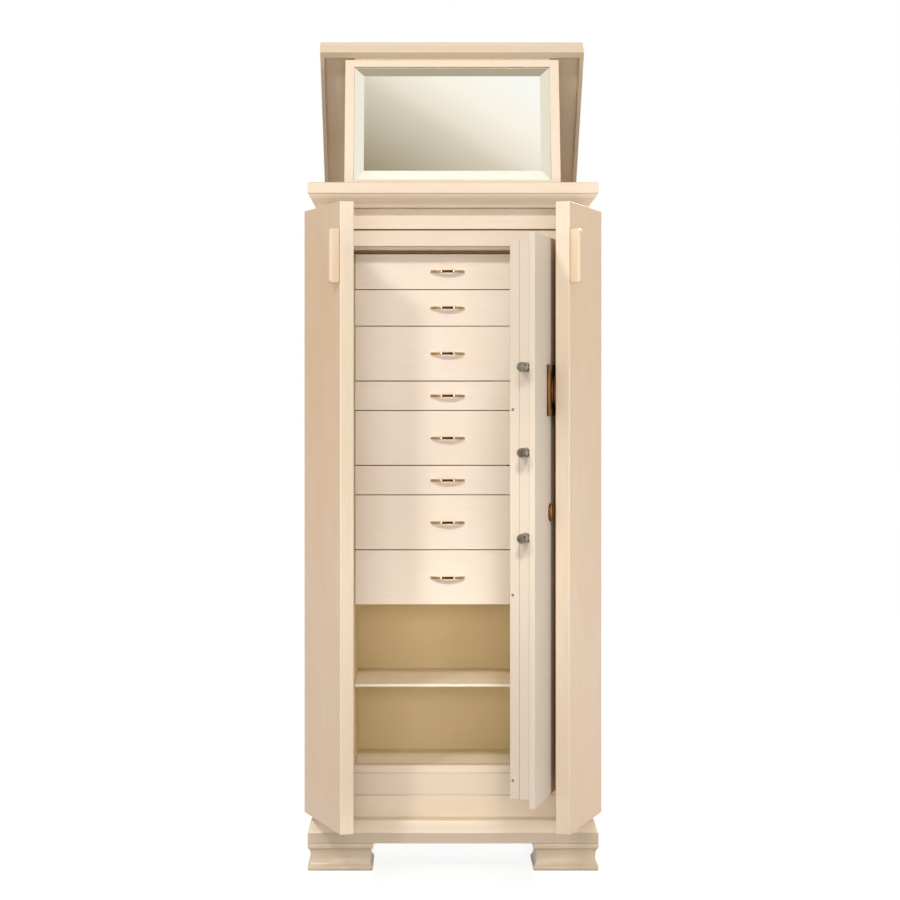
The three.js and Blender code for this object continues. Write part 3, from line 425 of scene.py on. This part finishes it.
def lacquer(
    name,
    base,
    grain=UP,
    streaks=0.05,
    mottle=0.05,
    roughness=0.36,
    offset=(0, 0, 0),
    painted_shade_band=None,
    depth=0.0,
):
    """Satin lacquer over veneer: streaks along the grain, soft mottling and a fine orange peel.
    Between the two heights of a band the lacquer is darkened by its depth, as painted shade."""
    finish = Finish(name)
    streak = finish.noise(14, 5, grain, offset, 0.6)
    cloud = finish.noise(5.5, 3, (1, 1, 0.6), offset)
    fleck = finish.noise(60, 2, tuple(0.5 * part for part in grain), offset)
    darker = tuple(part * (1 - 2.2 * streaks) for part in base)
    warm = tuple(part * (1 - mottle * fall) for part, fall in zip(base, (0.6, 1.6, 3.0)))
    lighter = tuple(min(1, 1.04 * part) for part in base)
    tone = finish.mix(streak.above(0.52, 0.5) * 0.75, base, darker)
    tone = finish.mix(cloud.above(0.5, 0.45) * 0.8, tone, warm)
    tone = finish.mix(fleck.above(0.62, 0.2) * 0.25, tone, lighter)
    # Painted shade: the lacquer darkened between two heights.
    if painted_shade_band:
        height = finish.axis("Z")
        inside = height.above(painted_shade_band[0], PAINTED_SHADE_EDGE) * (1 - height.above(painted_shade_band[1], PAINTED_SHADE_EDGE))
        painted_shade_tone = tuple(part * fall for part, fall in zip(base, PAINTED_SHADE_FALL))
        tone = finish.mix(inside * depth, tone, painted_shade_tone)
    shine = roughness + (cloud - 0.5) * 0.12
    peel = finish.noise(420, 2)
    return finish.surface(
        bump=peel * 0.5 + streak * 0.5,
        bump_height=0.0003,
        bump_strength=0.16,
        Base_Color=tone,
        Roughness=shine,
        Coat_Weight=0.12,
        Coat_Roughness=0.22,
    )


IVORY = colour(235, 221, 202)
# A darker copy of the ivory for the pieces that face up to the light: painted shade.
IVORY_PAINTED_SHADE = colour(224, 210, 192)  # the pieces that face up to the light
ivory = lacquer("ivory_lacquer", IVORY)
ivory_across = lacquer("ivory_lacquer_across", IVORY, grain=ACROSS)

# ---------------------------------------------------------------- feet and base
# Square feet cut on all four sides to a hollow waist, and the base moulding that stands on
# them. Both are solid wood in ivory lacquer. The feet take a darker copy of it and the base is
# darkened below its ledge: painted shade.
BASE_STEP = 0.0785  # height of the ledge round the base
MOULDING_ANGLE = 24  # edges sharper than this are eased on the moulded pieces
FOOT_EASE = 0.0009
# Painted shade: the feet's lacquer is darker than the ivory, and the base's is darkened below the
# ledge.
foot_lacquer_painted_shade = lacquer("foot_lacquer_painted_shade", colour(212, 196, 174), grain=ACROSS)
base_lacquer = lacquer("base_lacquer", IVORY, grain=ACROSS, painted_shade_band=(-1, BASE_STEP), depth=0.36)
for row in ("front", "back"):
    for column in ("left", "right"):
        foot = eased_copy(f"foot_{row}_{column}", FOOT_EASE, 2, MOULDING_ANGLE)
        dress(foot, foot_lacquer_painted_shade)
dress(eased_copy("base_plinth", EASE, 2, MOULDING_ANGLE), base_lacquer)

# ---------------------------------------------------------------- case
# Two side panels with upright grain, rails across the front above and below the safe, and a
# cornice moulding mitred round the top. The back is a plain board.
BOARD_EASE = 0.0006  # on thin boards
side_lacquer = lacquer("side_lacquer", colour(236, 216, 190))
for side in ("left", "right"):
    dress(eased_copy(f"side_panel_{side}"), side_lacquer)
for node in ("top_rail", "bottom_rail"):
    dress(eased_copy(node), ivory_across)
# The cornice takes the darker copy of the ivory: painted shade.
dress(eased_copy("cornice"), lacquer("cornice_lacquer", IVORY_PAINTED_SHADE, grain=ACROSS))
back_board = lacquer("back_board", colour(184, 160, 128), streaks=0.09, mottle=0.1, roughness=0.7)
dress(eased_copy("back_panel", BOARD_EASE, 1), back_board)


# The tray under the lid and the safe's inner back are board with a flocked lining.
def flock(name, base):
    finish = Finish(name)
    nap = finish.noise(900, 2)
    worn = finish.noise(9, 3)
    tone = finish.mix(worn.above(0.5, 0.6) * 0.5, base, tuple(0.86 * part for part in base))
    tone = finish.mix(nap.above(0.5, 0.4) * 0.22, tone, tuple(min(1, 1.12 * part) for part in base))
    return finish.surface(
        bump=nap,
        bump_height=0.0005,
        bump_strength=0.5,
        Base_Color=tone,
        Roughness=0.95,
        Sheen_Weight=0.35,
    )


lining = flock("flocked_lining", colour(251, 232, 188))
for node in ("tray_floor", "inner_back"):
    dress(frame["nodes"][node], lining)

# ---------------------------------------------------------------- safe
# Welded steel plate, painted ivory. The shell isn't seen behind the inner cabinet, and the
# rebated frame shows round the door opening.
STEEL_EASE = 0.0009


def enamel(name, base, roughness=0.4):
    finish = Finish(name)
    cloud = finish.noise(6, 3)
    peel = finish.noise(260, 3)
    darker = tuple(part * fall for part, fall in zip(base, (0.985, 0.965, 0.93)))
    tone = finish.mix(cloud.above(0.5, 0.5) * 0.6, base, darker)
    return finish.surface(
        bump=peel,
        bump_height=0.0003,
        bump_strength=0.18,
        Base_Color=tone,
        Roughness=roughness + (cloud - 0.5) * 0.1,
        Coat_Weight=0.1,
        Coat_Roughness=0.2,
    )


safe_enamel = enamel("safe_enamel", colour(228, 215, 199))
dress(frame["nodes"]["safe_shell"], safe_enamel)
dress(eased_copy("safe_frame", STEEL_EASE), safe_enamel)


# A dark felt strip closes the joint between the steel frame and the wooden rail above it, and a
# second one hangs behind the frame and closes the slot over the top drawer. Both are painted
# shade: flocked sheets that stand for the shadow in the joint and in the slot.
def block(name, low, high):
    shape = bmesh.new()
    bmesh.ops.create_cube(shape, size=1)
    bmesh.ops.scale(shape, verts=shape.verts, vec=Vector(high) - Vector(low))
    bmesh.ops.translate(shape, verts=shape.verts, vec=(Vector(high) + Vector(low)) / 2)
    mesh = bpy.data.meshes.new(name)
    shape.to_mesh(mesh)
    shape.free()
    return add_object(name, mesh)


STRIP_HEIGHT = 0.0021
STRIP_THICK = 0.0008
STRIP_INSET = 0.001  # how far both strips stop short of what they lie between
rail_low, rail_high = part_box("top_rail")
frame_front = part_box("safe_frame")[0][1]
strip_bottom = rail_low[2] - STRIP_HEIGHT
joint_shade_strip = block(
    "joint_shade_strip",
    (rail_low[0] + STRIP_INSET, frame_front - STRIP_THICK, strip_bottom),
    (rail_high[0] - STRIP_INSET, frame_front, rail_low[2]),
)
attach(joint_shade_strip, "cabinet")
# Painted shade: the dark brown of the shadow in the joint.
dress(joint_shade_strip, flock("felt", colour(84, 62, 40)))
SLOT_CLEARANCE = 0.0008  # over the top drawer
SLOT_HEIGHT = 0.009
SLOT_SHADE_SPAN = (0.00003, 0.00027)  # from its front to its back, behind the frame
frame_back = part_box("safe_frame")[1][1]
board_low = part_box("inner_side_left")[0][0]
board_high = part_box("inner_side_right")[1][0]
slot_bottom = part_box("drawer_1")[1][2] + SLOT_CLEARANCE
slot_shade_strip = block(
    "slot_shade_strip",
    (board_low + STRIP_INSET, frame_back + SLOT_SHADE_SPAN[0], slot_bottom),
    (board_high - STRIP_INSET, frame_back + SLOT_SHADE_SPAN[1], slot_bottom + SLOT_HEIGHT),
)
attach(slot_shade_strip, "cabinet")
# Painted shade: the brown of the shadow in the slot.
dress(slot_shade_strip, flock("slot_shade_felt", colour(150, 118, 84)))

# ---------------------------------------------------------------- inner cabinet
# Lacquered boards in a tan ivory, which stand inside the safe and carry the drawers on wooden
# runners, with a loose shelf on pins in the compartment below.
inner_tan = colour(252, 238, 210)
inner_boards = lacquer("inner_boards", inner_tan, streaks=0.06, mottle=0.06, roughness=0.5)
for node in ("inner_side_left", "inner_side_right", "divider_board"):
    dress(eased_copy(node, BOARD_EASE, 1), inner_boards)
shelf_boards = lacquer("shelf_boards", colour(252, 244, 228), ACROSS, streaks=0.03, roughness=0.42)
for node in ("inner_floor", "shelf"):
    dress(eased_copy(node, BOARD_EASE, 1), shelf_boards)

# ---------------------------------------------------------------- drawers
# Eight drawers with veneered fronts, grain across, in a paler lacquer than the case.
for number in range(1, 9):
    pale = colour(238 + number, 228 + number, 216 + number)
    another_board = (number * 3.7, 0, number)
    fronts = lacquer(f"drawer_lacquer_{number}", pale, ACROSS, 0.035, 0.04, offset=another_board)
    dress(eased_copy(f"drawer_{number}"), fronts)


# Their pulls are cast brass, polished and lacquered: a bow between two pointed feet.
def metal(name, base, dark, roughness, wear=0.5):
    finish = Finish(name)
    patch = finish.noise(90, 4).above(0.55, 0.3)
    scratch = finish.noise(300, 2, (1, 8, 8))
    return finish.surface(
        bump=scratch,
        bump_height=0.00005,
        bump_strength=0.3,
        Base_Color=finish.mix(patch * wear, base, dark),
        Metallic=1.0,
        Roughness=roughness + (scratch - 0.5) * 0.16 + patch * 0.08,
    )


# The pulls' light is painted into their colour. Faces that look up take a painted highlight and the
# collars are painted bright. The barrel between them is painted dark as a painted reflection.
PULL_BRIGHT = colour(252, 236, 206)
PULL_ARM = colour(234, 206, 160)
PULL_BARREL = colour(60, 34, 12)
COLLAR_REACH = 0.0135  # middle of the pull to the middle of a collar
COLLAR_HALF = 0.0013
COLLAR_EDGE = 0.0004
PULL_EASE = 0.0018
pull_low, pull_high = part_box("drawer_pull_1")
pull_brass = Finish("brass_with_painted_light")
from_middle = pull_brass.axis("X") - (pull_low[0] + pull_high[0]) / 2
from_middle = from_middle.maths("ABSOLUTE", from_middle)
past_collar = from_middle.above(COLLAR_REACH + COLLAR_HALF, COLLAR_EDGE)
collar = from_middle.above(COLLAR_REACH - COLLAR_HALF, COLLAR_EDGE) * (1 - past_collar)
on_arm = from_middle.above(COLLAR_REACH, 0.001)
upward = pull_brass.facing("Z")
# Painted highlight on faces that look up, reaching farther down on the arms.
painted_highlight = (upward.above(0.75, 0.3) + on_arm * upward.above(0.1, 0.5)).clamped()
# Painted dark reflection on the barrel between the collars.
arm_and_painted_dark_barrel = pull_brass.mix(on_arm, PULL_BARREL, PULL_ARM)
pull_painted_light_tone = pull_brass.mix((painted_highlight + collar).clamped(), arm_and_painted_dark_barrel, PULL_BRIGHT)
pull_brass.surface(
    bump=pull_brass.noise(300, 2),
    bump_height=0.00005,
    bump_strength=0.3,
    Base_Color=pull_painted_light_tone,
    Metallic=1.0,
    Roughness=0.34,
)
for number in range(1, 9):
    dress(eased_copy(f"drawer_pull_{number}", PULL_EASE, 3), pull_brass.owner)

# ---------------------------------------------------------------- safe door
# A steel plate with the bolt case welded behind its free edge, painted a shade darker than the
# frame.
BOLT_EASE = 0.0005
door_enamel = enamel("door_enamel", colour(208, 196, 182))
for node in ("safe_door_plate", "bolt_case", "bolt_cover"):
    dress(eased_copy(node, STEEL_EASE), door_enamel)
steel = metal("bright_steel", colour(150, 143, 134), colour(96, 90, 82), 0.3)
bolt_end = metal("bolt_end_steel", colour(108, 104, 94), colour(58, 56, 50), 0.45, 0.9)
bolts = eased_copy("locking_bolts", BOLT_EASE)
dress(bolts, steel)
bolts.data.materials.append(bolt_end)
for face in bolts.data.polygons:
    face.material_index = int(face.normal.y < -0.8)


# Three pan screws close the bolt case along its free edge, and two more columns hold the back
# panel of the cabinet. Each row is one Geometry Nodes tree with the sizes as its inputs.
HEAD_SIDES = 20
CROWN_SHARE = 0.62  # a head's upper radius over its lower one


def screw_row(name, node, count, spacing, radius, height, first, along, outward, material):
    tree = bpy.data.node_groups.new(name, "GeometryNodeTree")
    sizes = (
        ("Count", "NodeSocketInt", count),
        ("Spacing", "NodeSocketFloat", spacing),
        ("Head Radius", "NodeSocketFloat", radius),
        ("Head Height", "NodeSocketFloat", height),
    )
    keys = {}
    for label, kind, value in sizes:
        keys[tree.interface.new_socket(label, in_out="INPUT", socket_type=kind).identifier] = value
    tree.interface.new_socket("Geometry", in_out="OUTPUT", socket_type="NodeSocketGeometry")
    entry = tree.nodes.new("NodeGroupInput")
    row = tree.nodes.new("GeometryNodeMeshLine")
    step = tree.nodes.new("ShaderNodeCombineXYZ")
    head = tree.nodes.new("GeometryNodeMeshCone")
    head.inputs["Vertices"].default_value = HEAD_SIDES
    crown = tree.nodes.new("ShaderNodeMath")
    crown.operation = "MULTIPLY"
    crown.inputs[1].default_value = CROWN_SHARE
    spread = tree.nodes.new("GeometryNodeInstanceOnPoints")
    solid = tree.nodes.new("GeometryNodeRealizeInstances")
    paint = tree.nodes.new("GeometryNodeSetMaterial")
    paint.inputs["Material"].default_value = material
    leave = tree.nodes.new("NodeGroupOutput")
    for source, target in (
        (entry.outputs["Count"], row.inputs["Count"]),
        (entry.outputs["Spacing"], step.inputs["X"]),
        (step.outputs[0], row.inputs["Offset"]),
        (entry.outputs["Head Radius"], head.inputs["Radius Bottom"]),
        (entry.outputs["Head Radius"], crown.inputs[0]),
        (crown.outputs[0], head.inputs["Radius Top"]),
        (entry.outputs["Head Height"], head.inputs["Depth"]),
        (row.outputs["Mesh"], spread.inputs["Points"]),
        (head.outputs["Mesh"], spread.inputs["Instance"]),
        (spread.outputs["Instances"], solid.inputs["Geometry"]),
        (solid.outputs["Geometry"], paint.inputs["Geometry"]),
        (paint.outputs["Geometry"], leave.inputs["Geometry"]),
    ):
        tree.links.new(source, target)
    maker = add_object(f"{name}_maker", bpy.data.meshes.new(f"{name}_maker"))
    modifier = maker.modifiers.new("screws", "NODES")
    modifier.node_group = tree
    for key, value in keys.items():
        modifier[key] = value
    placed = bpy.context.evaluated_depsgraph_get()
    mesh = bpy.data.meshes.new_from_object(maker.evaluated_get(placed), depsgraph=placed)
    maker.modifiers.remove(modifier)
    bpy.data.objects.remove(maker)
    side = Vector(outward).cross(Vector(along))
    turned = Matrix((along, side, outward)).transposed().to_4x4()
    mesh.transform(Matrix.Translation(first) @ turned)
    finish_mesh(mesh, 30)
    piece = add_object(name, mesh)
    body = body_of(node)
    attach(piece, body)


CASE_SCREW_HEIGHTS = (0.2475, 0.9624)  # the lowest and the highest
UPRIGHT = (0, 0, 1)
BACKWARDS = (0, 1, 0)
cover = frame["nodes"]["bolt_cover"].data
edge = max((face for face in cover.polygons if face.normal.y < -0.9), key=lambda face: face.area)
low, high = CASE_SCREW_HEIGHTS
spot = Vector((edge.center.x, edge.center.y, low))
outward = tuple(edge.normal)
screw_row(
    "case_screws", "bolt_cover", 3, (high - low) / 2, 0.0028, 0.0016, spot, UPRIGHT, outward, steel
)
BACK_SCREW_SPACING = 0.172
back_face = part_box("back_panel")[1][1]
for side, x in (("left", -0.262), ("right", 0.262)):
    spot = (x, back_face, 0.14)
    label = f"back_screws_{side}"
    screw_row(
        label, "back_panel", 8, BACK_SCREW_SPACING, 0.0036, 0.0014, spot, UPRIGHT, BACKWARDS, steel
    )

# ---------------------------------------------------------------- lock
# A plate with a raised rim on the outside of the safe door, the turning handle within the rim
# and a small key turn well below it, all in dark polished bronze.
LOCK_EASE = 0.0004
bronze = metal("dark_bronze", colour(112, 72, 34), colour(58, 34, 16), 0.3)
for node in ("lock_plate", "lock_handle", "key_turn"):
    dress(eased_copy(node, LOCK_EASE), bronze)

# ---------------------------------------------------------------- wooden doors
# Flat veneered doors with upright grain, each with a wooden pull block on its outside near the
# top of its free edge. They hang on continuous brass hinges.
DOOR_EASE = 0.0015
BLOCK_EASE = 0.003
# The doors' broad faces take a darker, warmer copy of the ivory, and their edges the ivory of the
# case: painted shade on the faces.
door_lacquer_painted_shade = lacquer("door_lacquer_painted_shade", colour(232, 206, 178), streaks=0.07, mottle=0.1)
pull_lacquer = lacquer("door_pull_lacquer", colour(226, 205, 180))
hinge_brass = metal("hinge_brass", colour(186, 158, 112), colour(150, 122, 80), 0.42, 0.25)
for side in ("left", "right"):
    door = eased_copy(f"door_{side}", DOOR_EASE, 3)
    dress(door, door_lacquer_painted_shade)
    door.data.materials.append(ivory)
    # Edges, which face along Y, keep the ivory; the broad faces keep the painted shade.
    for face in door.data.polygons:
        face.material_index = int(abs(face.normal.y) > 0.85)
    dress(eased_copy(f"door_pull_{side}", BLOCK_EASE, 4), pull_lacquer)
    for leaf in ("case", "door"):
        dress(frame["nodes"][f"hinge_{side}_{leaf}_leaf"], hinge_brass)

# ---------------------------------------------------------------- lid
# A shallow tray of lacquered board, hinged along its back and hollow underneath.
lid_lacquer = lacquer("lid_lacquer", colour(230, 214, 193), grain=ACROSS)
# The rim's lower faces take a darker copy of the lid's lacquer: painted shade.
rim_painted_shade = lacquer("lid_underside_painted_shade", colour(196, 178, 156), grain=ACROSS)
LID_UNDERSIDE = Vector((0, -1, -1)).normalized()  # which way the rim's lower face looks at rest
for node in ("lid_rim", "lid_panel"):
    dress(eased_copy(node), lid_lacquer)
rim = bpy.data.objects["lid_rim_finished"]
rim.data.materials.append(rim_painted_shade)
for face in rim.data.polygons:
    face.material_index = int(face.normal.dot(LID_UNDERSIDE) > 0.9)
for leaf in ("case", "lid"):
    dress(frame["nodes"][f"lid_hinge_{leaf}_leaf"], hinge_brass)

# ---------------------------------------------------------------- mirror
# Silvered glass with a wide bevel all round, in a lacquered frame that swings down from the lid.
# The frame's lacquer is the darker copy of the ivory: painted shade.
mirror_lacquer = lacquer("mirror_frame_lacquer", IVORY_PAINTED_SHADE)
dress(eased_copy("mirror_frame"), mirror_lacquer)
silver = Finish("silvered_glass")
haze = silver.noise(3, 2)
silver_tone = silver.mix(haze * 0.3, colour(250, 250, 244), colour(236, 238, 230))
silver.surface(Base_Color=silver_tone, Metallic=1.0, Roughness=0.02)
dress(frame["nodes"]["mirror_glass"], silver.owner)
dress(frame["nodes"]["mirror_backing"], back_board)
for leaf in ("lid", "frame"):
    dress(frame["nodes"][f"mirror_hinge_{leaf}_leaf"], mirror_lacquer)
